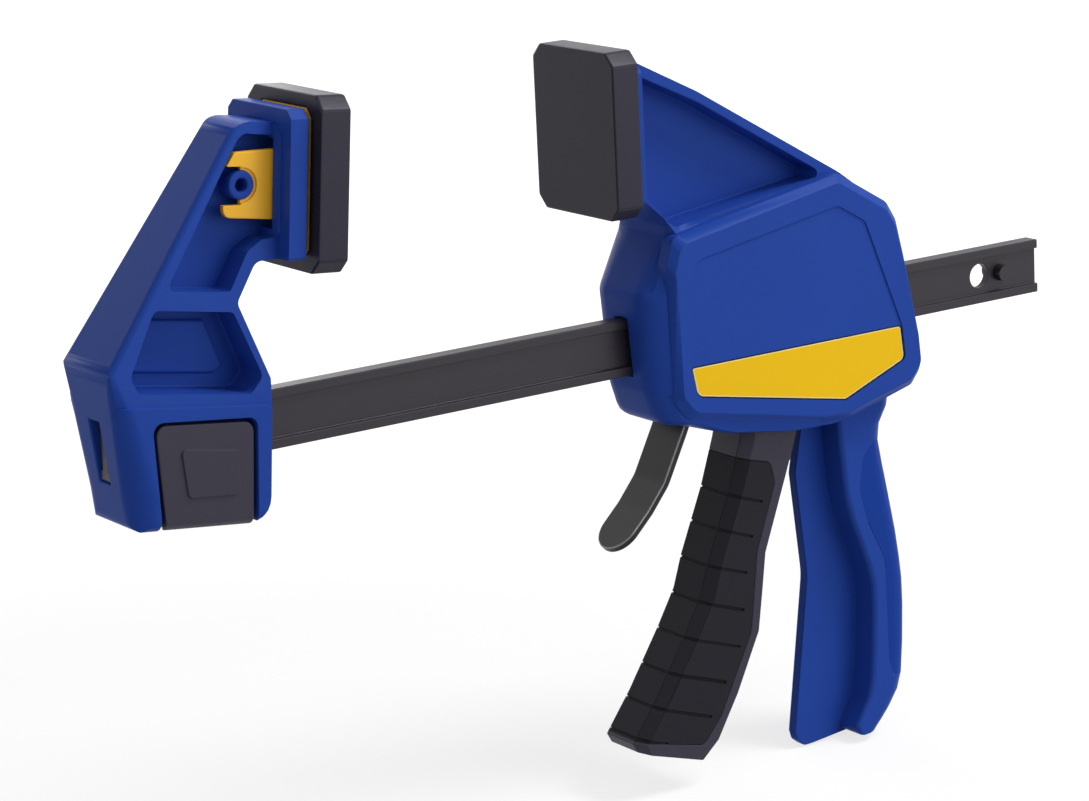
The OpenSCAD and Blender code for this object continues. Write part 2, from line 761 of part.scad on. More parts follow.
module moving_pad() {
    color(BLACK)
        at_opening()
            translate([0, 0, reach + 0.8])
                difference() {
                    cut_plate(pad_w, pad_h, pad_cut, pad_cut, 0, pad_t - 0.4);
                    translate([0, 0, -0.8])
                        cut_plate(seat_w, seat_h, 3, 1, pad_t - seat_t + 1, pad_t + over);
                }
}

module band(s) {
    slab(band_side, s > 0 ? cheek_w / 2 - 2 * panel_depth : -cheek_w / 2 + panel_depth + 0.1,
        s > 0 ? cheek_w / 2 - panel_depth - 0.1 : -cheek_w / 2 + 2 * panel_depth);
}

module label_near() {
    color(YELLOW)
        at_opening()
            band(-1);
}

module label_far() {
    color(YELLOW)
        at_opening()
            band(1);
}

module palm_grip() {
    color(BLUE)
        at_opening()
            from_pivot()
                palm_skin_room();
}

module pivot_pin() {
    color(BRIGHT)
        at_opening()
            rod_y(trigger_axis_x, pivot_z, pivot_d, -body_w / 2 + 2, body_w / 2 - 0.4);
}

// ---------------------------------------------------------------- trigger

// Each station down the trigger: front X and Z, back X and Z
stations = [
    [-24.6, -31, -1.2, -31], [-27, -40.6, -4.7, -40.6], [-33, -58.5, -10, -56],
    [-43, -82, -19.7, -81.3], [-46.8, -93.5, -21.8, -96], [-54.2, -106, -23.9, -110],
    [-68.2, -127.4, -34.2, -131], [-78.6, -141, -43.6, -146.5],
    [-76.6, -144.6, -50.8, -152.6]
];
front_half = 7.9;
facet = 3.6;
trigger_half = trigger_w / 2;

// Ring of the trigger's section at a station, pulled in by k on its front and sides and out at the back by b
function trigger_ring(s, k, b) =
    let (
        f = [s[0], s[1]],
        r = [s[2], s[3]],
        d = unit(r - f),
        w = trigger_half - k,
        p = f + k * d,
        q = f + (k + facet) * d,
        e = r + b * d
    )
    [[p[0], -front_half, p[1]], [p[0], front_half, p[1]], [q[0], w, q[1]], [e[0], w, e[1]], [e[0], -w, e[1]],
        [q[0], -w, q[1]]];

module trigger_loft(k, b) {
    loft([for (s = stations) trigger_ring(s, k, b)]);
}

skin_side = [
    [-36.2, -44, 0], [-16.7, -49, 3], [-14.8, -57, 4], [-23.8, -81, 8], [-27.6, -110, 15],
    [-42.2, -138, 3], [-50.2, -147, 3], [-78.2, -140, 0], [-86.2, -140, 0]
];

// Each groove in the trigger's skin: where it crosses the front, and where it ends on the sides
grooves = [
    [-33.5, -58.4, -20.7, -62.8], [-38.3, -70.2, -25.5, -74.8], [-43, -82.6, -28.5, -87.5],
    [-47.6, -95, -30.5, -100.9], [-54, -106.9, -32.8, -114], [-62, -118.2, -39.6, -125.9],
    [-69.7, -129.1, -46.6, -137.2], [-77, -139.2, -66.2, -142.8]
];
groove_w = 0.9;
groove_t = 0.7;

module groove_cuts() {
    difference() {
        for (g = grooves) {
            d = [g[2] - g[0], g[3] - g[1]];
            translate([g[0], 0, g[1]])
                rotate([0, -atan2(d[1], d[0]), 0])
                    translate([-6, -trigger_w, -groove_w / 2])
                        cube([norm(d) + 6, 2 * trigger_w, groove_w]);
        }
        trigger_loft(groove_t, over);
    }
}

module trigger_skin_room() {
    difference() {
        intersection() {
            trigger_loft(0, 0);
            slab(skin_side, -trigger_w, trigger_w);
        }
        trigger_loft(skin_t, over);
    }
}

arm_in = trigger_half - 2.9;
arm_side_pts = [
    [-20.2, -50], [-21.7, -31], [-12.2, 0, 20],
    [-8, pivot_z - 2, 6], [-6.7, pivot_z + 7.5, 6], [6.4, pivot_z + 7.5, 6],
    [drive_push - 0.2, pivot_z, 3], [drive_push - 0.4, -7, 3], [-4.4, -40], [-7.7, -50]
];

module trigger() {
    color(DARK)
        at_opening()
            from_pivot()
                difference() {
                    union() {
                        difference() {
                            trigger_loft(0, 0);
                            channel();
                        }
                        both_sides(arm_side_pts, arm_in, trigger_half);
                    }
                    trigger_skin_room();
                    rod_y(0, pivot_z, pivot_d + 2 * run_gap, -trigger_w, trigger_w);
                }
}

// The hollow that closes over the grip's web
module channel() {
    loft(concat(
        [trigger_ring(stations[0] + [1, 4, 1, 4], trigger_wall, 4)],
        [for (i = [0 : len(stations) - 2]) trigger_ring(stations[i], trigger_wall, 4)]
    ));
}

module trigger_grip() {
    color(BLACK)
        at_opening()
            from_pivot()
                difference() {
                    trigger_skin_room();
                    groove_cuts();
                }
}

// ---------------------------------------------------------------- mechanism

drive_cant = 2;

module drive_plate() {
    color(STEEL)
        at_opening()
            translate([trigger_axis_x + drive_push, 0, 0])
                rotate([0, drive_cant, 0])
                    difference() {
                        block([0, -drive_w / 2, -drive_h / 2 + 1], [drive_t, drive_w / 2, drive_h / 2 + 1]);
                        block([-over, -bar_t / 2 - slip, -bar_top - slip],
                            [drive_t + over, bar_t / 2 + slip, bar_top + slip]);
                    }
}

drive_spring_x = trigger_axis_x + drive_push + drive_t + 0.7;

module drive_spring() {
    color(BRIGHT)
        at_opening()
            translate([drive_spring_x, 0, 0])
                coil(norm([bar_top, bar_t / 2]) + 0.5 + drive_wire / 2, drive_wire,
                    rear_wall_x - drive_spring_x - 0.1, 5);
}

// The lever's middle line from its head to its tip, as [x, z]
lever_line = [lever_axis, each [for (p = [[1.8, -18], [8.8, -32.7], [17.4, -49.5], [24.8, -58.4], [38, -71]])
    [lever_axis[0] - p[0], p[1]]]];
lever_bend_r = 14;

// One side of the lever's middle line, h away from it
function beside(line, h) =
    [for (i = [0 : len(line) - 1])
        let (
            a = unit(line[min(i + 1, len(line) - 1)] - line[max(min(i, len(line) - 2), 0)]),
            b = unit(line[max(i, 1)] - line[max(i - 1, 0)]),
            n = [-a[1], a[0]],
            m = [-b[1], b[0]],
            p = line[i] + h * (n + m) / (1 + n * m)
        )
        [p[0], p[1], i > 0 && i < len(line) - 1 ? lever_bend_r : 0]];

module release_lever() {
    near_side = beside(lever_line, -lever_t / 2);
    far_side = beside(lever_line, lever_t / 2);
    color(STEEL)
        at_opening()
            difference() {
                union() {
                    slab(concat(near_side, [for (i = [len(far_side) - 1 : -1 : 0]) far_side[i]]),
                        -lever_w / 2, lever_w / 2);
                    rod_y(lever_axis[0], lever_axis[1], lever_head_d, -lever_w / 2, lever_w / 2);
                }
                block([lever_axis[0] - 13, -bar_t / 2 - slip, -bar_top - 0.8],
                    [lever_axis[0] + 13, bar_t / 2 + slip, bar_top + 0.8]);
                lever_end();
            }
}

// What is cut away to leave the lever's round end
module lever_end() {
    tip = lever_line[len(lever_line) - 1];
    d = tip - lever_line[len(lever_line) - 2];
    translate([tip[0], 0, tip[1]])
        rotate([0, -atan2(d[1], d[0]), 0])
            difference() {
                translate([-lever_w / 2, -lever_w, -lever_w / 2])
                    cube([lever_w, 2 * lever_w, lever_w]);
                translate([-lever_w / 2, 0, -lever_w])
                    cylinder(d = lever_w, h = 2 * lever_w);
            }
}

brake_spring_z = -bar_top - 9;
brake_spring_x = lever_axis[0];

module brake_spring() {
    color(BRIGHT)
        at_opening()
            translate([brake_spring_x, 0, brake_spring_z])
                coil(3.6, brake_wire, spring_rib_x - 3.1 - brake_spring_x, 4.5);
}

// ---------------------------------------------------------------- build

bar();
stop_pin();
fixed_jaw();
pad_carrier();
fixed_pad();
lock_button();
lock_pin();
button_spring();
moving_jaw();
moving_pad();
label_near();
label_far();
palm_grip();
pivot_pin();
trigger();
trigger_grip();
drive_plate();
drive_spring();
release_lever();
brake_spring();
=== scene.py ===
# %% [markdown]
# # A one-handed bar clamp
# A clamp of this kind has a fixed jaw latched to one end of a steel bar, and a moving jaw whose
# trigger walks it along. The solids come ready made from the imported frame, at their real size. This
# lesson gives them their finish: rounded moulding edges, plastics, rubber and steel, a camera and light.

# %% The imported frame
import math

import bpy
from mathutils import Matrix, Vector, geometry, kdtree


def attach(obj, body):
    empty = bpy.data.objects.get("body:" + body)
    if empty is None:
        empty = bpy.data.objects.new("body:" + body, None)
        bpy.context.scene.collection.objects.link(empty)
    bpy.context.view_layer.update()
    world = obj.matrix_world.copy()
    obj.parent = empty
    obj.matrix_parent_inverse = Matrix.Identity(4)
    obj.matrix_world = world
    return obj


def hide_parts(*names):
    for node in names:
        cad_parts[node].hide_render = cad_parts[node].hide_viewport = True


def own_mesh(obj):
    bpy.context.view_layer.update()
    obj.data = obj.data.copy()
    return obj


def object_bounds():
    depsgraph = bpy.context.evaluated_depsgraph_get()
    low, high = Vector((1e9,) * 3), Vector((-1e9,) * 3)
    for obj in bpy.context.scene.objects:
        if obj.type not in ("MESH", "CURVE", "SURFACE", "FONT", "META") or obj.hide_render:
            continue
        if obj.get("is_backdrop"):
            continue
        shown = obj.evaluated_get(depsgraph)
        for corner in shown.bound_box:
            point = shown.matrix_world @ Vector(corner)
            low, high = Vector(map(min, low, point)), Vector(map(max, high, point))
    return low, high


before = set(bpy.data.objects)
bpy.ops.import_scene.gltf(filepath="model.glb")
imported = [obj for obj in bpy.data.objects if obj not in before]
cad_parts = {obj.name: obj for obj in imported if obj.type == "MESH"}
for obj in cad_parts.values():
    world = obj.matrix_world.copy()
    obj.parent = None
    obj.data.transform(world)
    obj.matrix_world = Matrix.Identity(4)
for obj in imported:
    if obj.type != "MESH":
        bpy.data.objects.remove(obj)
cad_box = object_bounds()
print("nodes:", ", ".join(sorted(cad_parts)))

# %% [markdown]
# ## The camera
# The camera looks at the clamp's near side, from the fixed jaw's end and from a little above. It stands
# far off with a long lens, so that near and far pieces keep their proportions. Three angles, a distance
# and the origin's place in the picture set it, and each can be read and changed by itself.

# %% Camera
PICTURE_W = 1089
CAMERA_AZIMUTH = math.radians(34.0)
CAMERA_ELEVATION = math.radians(13.63)
CAMERA_ROLL = math.radians(-2.736)
CAMERA_DISTANCE = 1.18025
# How far the origin lies off the picture's middle, to the right and upward, in metres
ORIGIN_ACROSS = -0.0714968
ORIGIN_UP = -0.0018808
FOCAL_PIXELS = 3601.86
SENSOR_MM = 36
FARTHEST_SEEN = 20

towards_camera = Vector((
    -math.sin(CAMERA_AZIMUTH) * math.cos(CAMERA_ELEVATION),
    -math.cos(CAMERA_AZIMUTH) * math.cos(CAMERA_ELEVATION),
    math.sin(CAMERA_ELEVATION)))
level_right = (-towards_camera).cross(Vector((0, 0, 1))).normalized()
level_up = level_right.cross(-towards_camera)
camera_right = math.cos(CAMERA_ROLL) * level_right + math.sin(CAMERA_ROLL) * level_up
camera_up = math.cos(CAMERA_ROLL) * level_up - math.sin(CAMERA_ROLL) * level_right

lens = bpy.data.cameras.new("camera")
lens.sensor_width = SENSOR_MM
lens.sensor_fit = "HORIZONTAL"
lens.lens = FOCAL_PIXELS / PICTURE_W * SENSOR_MM
lens.clip_end = FARTHEST_SEEN
camera = bpy.data.objects.new("camera", lens)
bpy.context.scene.collection.objects.link(camera)
stand = towards_camera * CAMERA_DISTANCE - camera_right * ORIGIN_ACROSS - camera_up * ORIGIN_UP
turn = Matrix((camera_right, camera_up, towards_camera)).transposed()
camera.matrix_world = Matrix.Translation(stand) @ turn.to_4x4()
bpy.context.scene.camera = camera
print("camera at", [round(x, 3) for x in stand], "with a lens of", round(lens.lens, 1), "mm")

# %% [markdown]
# ## Floor and light
# A product is lit by large soft lamps, so that its edges catch a broad highlight and its dark parts
# keep their shape. The floor is plain and pale and only carries a faint shadow. It is a single plane,
# far larger than the clamp, so that its rim stays out of the camera's picture.

# %% Floor
FLOOR_SIZE = 12
FLOOR_MIDDLE = 0.1
# The floor lies this far under the lowest solid, so that the two don't share a plane
FLOOR_GAP = 0.0005


def select_only(piece):
    """Selects this object and nothing else, and makes it the active one."""
    bpy.ops.object.select_all(action="DESELECT")
    piece.select_set(True)
    bpy.context.view_layer.objects.active = piece


floor_place = (FLOOR_MIDDLE, 0, cad_box[0][2] - FLOOR_GAP)
bpy.ops.mesh.primitive_plane_add(size=FLOOR_SIZE, location=floor_place)
floor = bpy.context.object
floor.name = "floor"
select_only(floor)
bpy.ops.object.transform_apply(location=True)
floor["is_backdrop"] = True
print("floor at", round(floor.data.vertices[0].co.z, 4), "m")

# %% Lamps
LIT_POINT = Vector((0.08, 0, 0))
# Each lamp's place, the side of its square in metres and its power in watts
LAMPS = {
    "key": ((0.95, -0.62, 1.4), 0.7, 19),
    "fill": ((0.7, -1.4, 0.25), 1.2, 9),
    "left": ((-1.4, -0.5, 0.6), 0.9, 2),
    "back": ((0.25, 1.5, 0.15), 1.2, 7),
}


def softbox(name, place, side, watts):
    """A square lamp at a place, turned to face the clamp."""
    light = bpy.data.lights.new(name, "AREA")
    light.shape = "SQUARE"
    light.size = side
    light.energy = watts
    lamp = bpy.data.objects.new(name, light)
    bpy.context.scene.collection.objects.link(lamp)
    facing = (LIT_POINT - Vector(place)).to_track_quat("-Z", "Y")
    lamp.matrix_world = Matrix.Translation(place) @ facing.to_matrix().to_4x4()


for name, (place, side, watts) in LAMPS.items():
    softbox(name, place, side, watts)
print("lamps:", ", ".join(LAMPS))

# %% [markdown]
# ## Shader maths
# A material is a small program of nodes. Written as nodes, even a sum takes several lines, so one class
# wraps a socket and lets Python's own signs add the Math nodes. All nodes are added by one method, which
# works for a material and for the world alike.

# %% A value in a shader
class Value:
    """A socket that + - and * work on, in either order."""

    def __init__(self, shader, socket):
        self.shader = shader
        self.socket = socket

    def maths(self, operation, *numbers):
        return self.shader.add("ShaderNodeMath", {"operation": operation}, dict(enumerate(numbers)))

    def __add__(self, other):
        return self.maths("ADD", self, other)

    def __sub__(self, other):
        return self.maths("SUBTRACT", self, other)

    def __rsub__(self, other):
        return self.maths("SUBTRACT", other, self)

    def __mul__(self, other):
        return self.maths("MULTIPLY", self, other)

    def larger(self, other):
        return self.maths("MAXIMUM", self, other)

    __radd__ = __add__
    __rmul__ = __mul__


class Shader:
    """The nodes of a material or of the world."""

    def __init__(self, tree):
        self.tree = tree

    def put(self, socket, what):
        """Links a value to a socket, or sets the socket's own constant."""
        if isinstance(what, Value):
            self.tree.links.new(what.socket, socket)
        else:
            socket.default_value = what

    def add(self, kind, settings, inputs, output=0):
        """A node of a kind, with its settings first and then its sockets."""
        node = self.tree.nodes.new(kind)
        for key, setting in settings.items():
            setattr(node, key, setting)
        for key, what in inputs.items():
            self.put(node.inputs[key], what)
        return Value(self, node.outputs[output])


class Finish(Shader):
    """A material under construction."""

    def __init__(self, name):
        self.material = bpy.data.materials.new(name)
        self.material.use_nodes = True
        super().__init__(self.material.node_tree)
        self.surface = self.tree.nodes["Principled BSDF"]

    def shade(self, **sockets):
        """Sets the surface's own sockets, an underscore standing for a space. Returns the material."""
        for key, what in sockets.items():
            self.put(self.surface.inputs[key.replace("_", " ")], what)
        return self.material


print("shader maths ready")

# %% [markdown]
# ## Patterns
# Moulded plastic has a fine grain and drawn steel has fine lines. Pictures could give both, but noise
# worked out from a piece's own coordinates has no seams and keeps its size in metres on every piece.

# %% Patterns shared by the finishes
EVEN = (1, 1, 1)


def place_on(finish, stretch=EVEN):
    """The piece's own coordinates in metres, each times its stretch."""
    here = finish.add("ShaderNodeTexCoord", {}, {}, "Object")
    return finish.add("ShaderNodeMapping", {}, {"Vector": here, "Scale": stretch})


def noise(finish, where, per_metre, detail=2.0):
    """Noise between 0 and 1, with about this many waves in a metre."""
    return finish.add("ShaderNodeTexNoise", {}, {"Vector": where, "Scale": per_metre, "Detail": detail})


def blended(finish, amount, low, high):
    """A colour between two others."""
    settings = {"data_type": "RGBA"}
    # The colour sockets of a Mix node are its seventh and eighth, and its colour output the third
    return finish.add("ShaderNodeMix", settings, {0: amount, 6: (*low, 1), 7: (*high, 1)}, 2)


def bumped(finish, height, depth):
    """The normal of a surface that rises and falls by this depth in metres."""
    return finish.add("ShaderNodeBump", {}, {"Strength": 1.0, "Distance": depth, "Height": height})


def darkened(colour, share):
    """A colour times a share."""
    return tuple(c * share for c in colour)


print("patterns ready")

# %% [markdown]
# ## Moulded plastic
# The jaws are glass-filled nylon, with a deep colour, a soft gloss and the fine grain of a spark-eroded
# mould. The grain is a bump of some hundredths of a millimetre. Broad clouds of noise vary the colour
# and the gloss a little, so that a large face isn't quite even, and the grain varies the gloss too.

# %% Plastics and rubbers
GRAIN_PER_METRE = 2600
GRAIN_DETAIL = 3.0
CLOUDS_PER_METRE = 34
# The middle of a noise, and how far each pattern moves the roughness from end to end
NOISE_MIDDLE = 0.5
CLOUDS_IN_GLOSS = 0.12
GRAIN_IN_GLOSS = 0.06


def moulded(name, colour, shade=0.86, gloss=0.38, grain=0.00002, shine=0.06):
    """Moulded plastic or rubber: colour, darkest share of it, roughness, depth of grain, shine."""
    finish = Finish(name)
    where = place_on(finish)
    clouds = noise(finish, where, CLOUDS_PER_METRE)
    fine = noise(finish, where, GRAIN_PER_METRE, GRAIN_DETAIL)
    from_clouds = CLOUDS_IN_GLOSS * (clouds - NOISE_MIDDLE)
    from_grain = GRAIN_IN_GLOSS * (fine - NOISE_MIDDLE)
    return finish.shade(
        Base_Color=blended(finish, clouds, darkened(colour, shade), colour),
        Roughness=gloss + from_clouds + from_grain,
        Normal=bumped(finish, fine, grain),
        Specular_IOR_Level=shine)


blue_nylon = moulded("blue_nylon", (0.02, 0.068, 0.385))
blue_skin = moulded("blue_skin", (0.01, 0.05, 0.33), gloss=0.5, grain=0.00004)
charcoal = moulded("charcoal_plastic", (0.04, 0.037, 0.06), gloss=0.42, grain=0.00003, shine=0.2)
charcoal_skin = moulded("charcoal_skin", (0.024, 0.023, 0.03), gloss=0.5, grain=0.00005)
pad_rubber = moulded("pad_rubber", (0.031, 0.029, 0.047), gloss=0.28, grain=0.00003, shine=0.13)
amber = moulded("amber_plastic", (1.0, 0.52, 0.018), shade=0.94, gloss=0.36, shine=0.3)
# Painted shade: the dark line round a rubber skin, where it meets the plastic that it is moulded on, is a
# darker copy of the skin's colour on its roundings, standing for the shade in that seam
blue_seam_painted_shade = moulded("blue_seam_painted_shade", (0.003, 0.012, 0.075), gloss=0.6)
dark_seam_painted_shade = moulded("dark_seam_painted_shade", (0.012, 0.0115, 0.015), gloss=0.5)
print("the nylon is", [round(c, 3) for c in blue_nylon.node_tree.nodes["Mix"].inputs[7].default_value])

# %% [markdown]
# ## Steel
# The bar is drawn steel under a black oxide, so its fine lines run along it and its sheen is streaked
# that way. A noise that is stretched along one axis gives such lines. The stop pin is black like the
# bar, the two other pins and the springs are bright, and the drive plate is ground and dull.

# %% Steels
LINES_PER_METRE = 1400
LINES_DETAIL = 4.0
PATCHES_PER_METRE = 45
# How much of the colour's change is from the lines, and how dark it gets
LINES_SHARE = 0.5
DARKEST = 0.62
LINES_IN_GLOSS = 0.2
PATCHES_IN_GLOSS = 0.1
LINE_DEPTH = 0.00002


def drawn_steel(name, colour, gloss, metal, stretch, shine=0.5):
    """Steel with fine lines along the axis whose stretch is under 1, or with a grain if none is."""
    finish = Finish(name)
    lines = noise(finish, place_on(finish, stretch), LINES_PER_METRE, LINES_DETAIL)
    patches = noise(finish, place_on(finish), PATCHES_PER_METRE)
    worn = LINES_SHARE * lines + (1 - LINES_SHARE) * patches
    from_lines = LINES_IN_GLOSS * (lines - NOISE_MIDDLE)
    from_patches = PATCHES_IN_GLOSS * (patches - NOISE_MIDDLE)
    return finish.shade(
        Base_Color=blended(finish, worn, darkened(colour, DARKEST), colour),
        Metallic=metal,
        Roughness=gloss + from_lines + from_patches,
        Normal=bumped(finish, lines, LINE_DEPTH),
        Specular_IOR_Level=shine)


ALONG_BAR = (0.02, 1, 1)
ALONG_LEVER = (1, 1, 0.05)
OXIDE = (0.029, 0.023, 0.032)
LEVER_OXIDE = (0.016, 0.015, 0.018)
BRIGHT = (0.55, 0.56, 0.58)
# The drive plate's ground grey, also used as the painted highlight on the lever's edges
GROUND_GREY_AND_HIGHLIGHT = (0.2, 0.2, 0.21)
black_steel = drawn_steel("black_steel", OXIDE, gloss=0.38, metal=0.2, stretch=ALONG_BAR, shine=0.35)
lever_steel = drawn_steel(
    "lever_steel", LEVER_OXIDE, gloss=0.34, metal=0.1, stretch=ALONG_LEVER, shine=0.25)
bright_steel = drawn_steel("bright_steel", BRIGHT, gloss=0.3, metal=1.0, stretch=EVEN)
plate_steel = drawn_steel("plate_steel", GROUND_GREY_AND_HIGHLIGHT, gloss=0.42, metal=0.9, stretch=ALONG_LEVER)
# The lever's roundings get a lighter, more metallic grey than its oxide: a painted highlight along its
# edges
lever_edge_painted_highlight = drawn_steel("lever_edge_painted_highlight", GROUND_GREY_AND_HIGHLIGHT, gloss=0.3, metal=0.8, stretch=ALONG_LEVER)
print("steels, with lines stretched", round(1 / ALONG_BAR[0]), "times along the bar")

# %% [markdown]
# ## Copies of the solids
# A solid of the frame is made of loose triangles and is left as it is. What shows of most pieces is a
# copy, whose vertices are merged where they lie on each other. The copy then stands for the solid.

# %% A copy to work on
MERGE = 0.00001


def opened_copy(node, ending):
    """A copy of a solid, merged, left open in edit mode with everything selected."""
    piece = bpy.data.objects.new(node + ending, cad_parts[node].data.copy())
    bpy.context.scene.collection.objects.link(piece)
    select_only(piece)
    bpy.ops.object.mode_set(mode="EDIT")
    bpy.ops.mesh.select_all(action="SELECT")
    bpy.ops.mesh.remove_doubles(threshold=MERGE)
    return piece


def coated(piece, *finishes):
    """Gives a piece these finishes and no others."""
    piece.data.materials.clear()
    for finish in finishes:
        piece.data.materials.append(finish)


print("copies merged within", MERGE, "m")

# %% [markdown]
# ## Rounding the mouldings
# A moulding hardly ever has a truly sharp edge. So the flat faces of a copy are joined again, and then
# its hard edges get a small rounding that catches the light, as far as each has room. In the solids the
# roundings would cost thousands of faces. Here a Bevel modifier makes them, with a weight for each edge.

# %% Which edges are rounded, and how far
HARD_EDGE = math.radians(24)
# A neighbouring edge that goes on within this angle of straight isn't in a rounding's way
STRAIGHT_ON = math.radians(40)
# The share of a neighbouring edge that a rounding may use, where that edge ends at a hard one or not
SHARED_ROOM = 0.45
OWN_ROOM = 0.9
# A slanting neighbour gives room by the sine of its angle, and by no less than this
LEAST_SINE = 0.2


def faces_beside(mesh):
    """For each edge that has two faces, those faces."""
    beside = {}
    for face in mesh.polygons:
        for pair in face.edge_keys:
            beside.setdefault(pair, []).append(face)
    return {pair: faces for pair, faces in beside.items() if len(faces) == 2}


def edge_room(mesh, radius):
    """How far each hard edge can be rounded, up to the radius, before it meets another edge."""
    beside = faces_beside(mesh)
    at = [v.co for v in mesh.vertices]
    hard = [pair for pair, (one, two) in beside.items() if one.normal.angle(two.normal, 0) > HARD_EDGE]
    ends = {}
    for a, b in beside:
        ends.setdefault(a, []).append(b)
        ends.setdefault(b, []).append(a)
    touched = {v for pair in hard for v in pair}
    rooms = {}
    for pair in hard:
        room = radius
        for here, there in (pair, pair[::-1]):
            for other in ends[here]:
                across = at[other] - at[here]
                turn = (at[there] - at[here]).angle(across, 0)
                if other != there and turn < math.pi - STRAIGHT_ON:
                    share = SHARED_ROOM if other in touched else OWN_ROOM
                    room = min(room, share * across.length * max(math.sin(turn), LEAST_SINE))
        rooms[pair] = room
    return rooms


print("edges over", round(math.degrees(HARD_EDGE)), "degrees are rounded")

# %% [markdown]
# Where mouldings crowd together, a rounding can be wider than the face beside it. The face's outline
# then crosses itself. These crossings are looked for, and each try narrows the roundings near them.

# %% Where a rounding doesn't fit
# Triangles, and faces, under these areas in square metres are too small to tell
SPECK = 1e-9
FOLDED_SPECK = 1e-8
TURNED_BACK = math.radians(150)
# A triangle is folded where the cosine between its normal and its face's is under this
FOLDED_COSINE = 0.5


def outline_crossings(mesh, face):
    """Corners of a face where its outline crosses itself or turns back."""
    corners = [mesh.vertices[v].co for v in face.vertices]
    level = face.normal.to_track_quat("Z", "Y").inverted()
    plan = [(level @ corner).to_2d() for corner in corners]
    count = len(plan)
    found = []
    for i in range(count):
        coming = plan[i] - plan[i - 1]
        going = plan[(i + 1) % count] - plan[i]
        if coming.length and going.length and coming.angle(going) > TURNED_BACK:
            found.append(corners[i])
        # Sides that share a corner always meet there, so they aren't compared
        for j in range(i + 2, count - (i == 0)):
            k = (j + 1) % count
            if geometry.intersect_line_line_2d(plan[i], plan[i + 1], plan[j], plan[k]):
                found += [corners[i], corners[i + 1], corners[j], corners[k]]
    return found


def misfits(mesh):
    """Points of a mesh where its faces are folded."""
    mesh.calc_loop_triangles()
    faces = mesh.polygons
    folded = {part.polygon_index for part in mesh.loop_triangles if part.area > SPECK
              and part.normal.dot(faces[part.polygon_index].normal) < FOLDED_COSINE}
    found = [corner for index in folded for corner in outline_crossings(mesh, faces[index])]
    for pair, (one, two) in faces_beside(mesh).items():
        smaller = min(one.area, two.area)
        if smaller > FOLDED_SPECK and one.normal.angle(two.normal, 0) > TURNED_BACK:
            found += [mesh.vertices[v].co for v in pair]
    return [point.copy() for point in found]


print("a turn of over", round(math.degrees(TURNED_BACK)), "degrees is a misfit")

# %% One try at the roundings
SEGMENTS = 2
# The share of the radius below which a rounding is left out
LEAST_SHARE = 0.06
# How fast a rounding may widen with its edge's distance from a misfit, and from how many radii on
WIDENING = 0.15
HELD_RADII = 2
# The distance is measured at the ends of this many equal parts of the edge
EDGE_PARTS = 4


def rounded_mesh(piece, plain, rooms, radius):
    """Gives a piece the plain mesh with each hard edge rounded as far as it has room."""
    piece.data = plain.copy()
    shares = piece.data.attributes.new("bevel_weight_edge", "FLOAT", "EDGE")
    for edge in piece.data.edges:
        share = rooms.get(tuple(sorted(edge.vertices)), 0) / radius
        shares.data[edge.index].value = share if share > LEAST_SHARE else 0
    rounding = piece.modifiers.new("rounding", "BEVEL")
    rounding.width = radius
    rounding.segments = SEGMENTS
    rounding.limit_method = "WEIGHT"
    rounding.use_clamp_overlap = False
    rounding.material = len(piece.data.materials) - 1
    bpy.ops.object.modifier_apply(modifier=rounding.name)


def narrowed(rooms, plain, points, widest, radius):
    """The same rooms, held to the widest near the points and free again further off."""
    near = kdtree.KDTree(len(points))
    for index, point in enumerate(points):
        near.insert(point, index)
    near.balance()
    held = {}
    for pair, room in rooms.items():
        a, b = (plain.vertices[v].co for v in pair)
        apart = min(near.find(a.lerp(b, part / EDGE_PARTS))[2] for part in range(EDGE_PARTS + 1))
        held[pair] = min(room, widest + WIDENING * max(0, apart - HELD_RADII * radius))
    return held


print("roundings of", SEGMENTS, "segments")

# %% A rounded copy of a solid
FLAT = math.radians(0.2)
SHORT_EDGE = 0.00012
TRIES = 8


def rounded(node, body, finish, radius, edges=None):
    """A copy of a solid with its hard edges rounded, riding on a body.

    The roundings get a finish of their own where edges names one. Near a misfit they are narrowed: to
    half the radius after the first try, to a quarter of it after the second, and so on.
    """
    piece = opened_copy(node, "_body")
    bpy.ops.mesh.dissolve_limited(angle_limit=FLAT)
    bpy.ops.mesh.dissolve_degenerate(threshold=SHORT_EDGE)
    bpy.ops.object.mode_set(mode="OBJECT")
    coated(piece, finish, edges or finish)
    plain = piece.data.copy()
    rooms = edge_room(plain, radius)
    for tries in range(1, TRIES + 1):
        rounded_mesh(piece, plain, rooms, radius)
        points = misfits(piece.data)
        if not points:
            break
        rooms = narrowed(rooms, plain, points, radius / 2 ** tries, radius)
    bpy.ops.object.shade_smooth_by_angle(angle=HARD_EDGE)
    weighting = piece.modifiers.new("weighting", "WEIGHTED_NORMAL")
    weighting.keep_sharp = True
    bpy.ops.object.modifier_apply(modifier=weighting.name)
    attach(piece, body)
    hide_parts(node)
    print(piece.name, len(piece.data.polygons), "faces after", tries, "tries,", len(points), "misfits left")


print("at most", TRIES, "tries for a solid")

# %% [markdown]
# ## The fixed jaw
# The fixed jaw is one nylon moulding. A yellow carrier hooks over the bosses at its top and holds the
# pad, which can tilt to meet the work. The button at its foot draws the latch pin out of the bar. The
# soft pads get the widest roundings, and the thin hooks of the carrier a narrow one.

# %% The fixed jaw and its pad
JAW_ROUND = 0.0007
PAD_ROUND = 0.0008
CARRIER_ROUND = 0.0004
BUTTON_ROUND = 0.0005
rounded("fixed_jaw", "frame", blue_nylon, JAW_ROUND)
rounded("pad_carrier", "swivel_pad", amber, CARRIER_ROUND)
rounded("fixed_pad", "swivel_pad", pad_rubber, PAD_ROUND)
rounded("lock_button", "button", charcoal, BUTTON_ROUND)
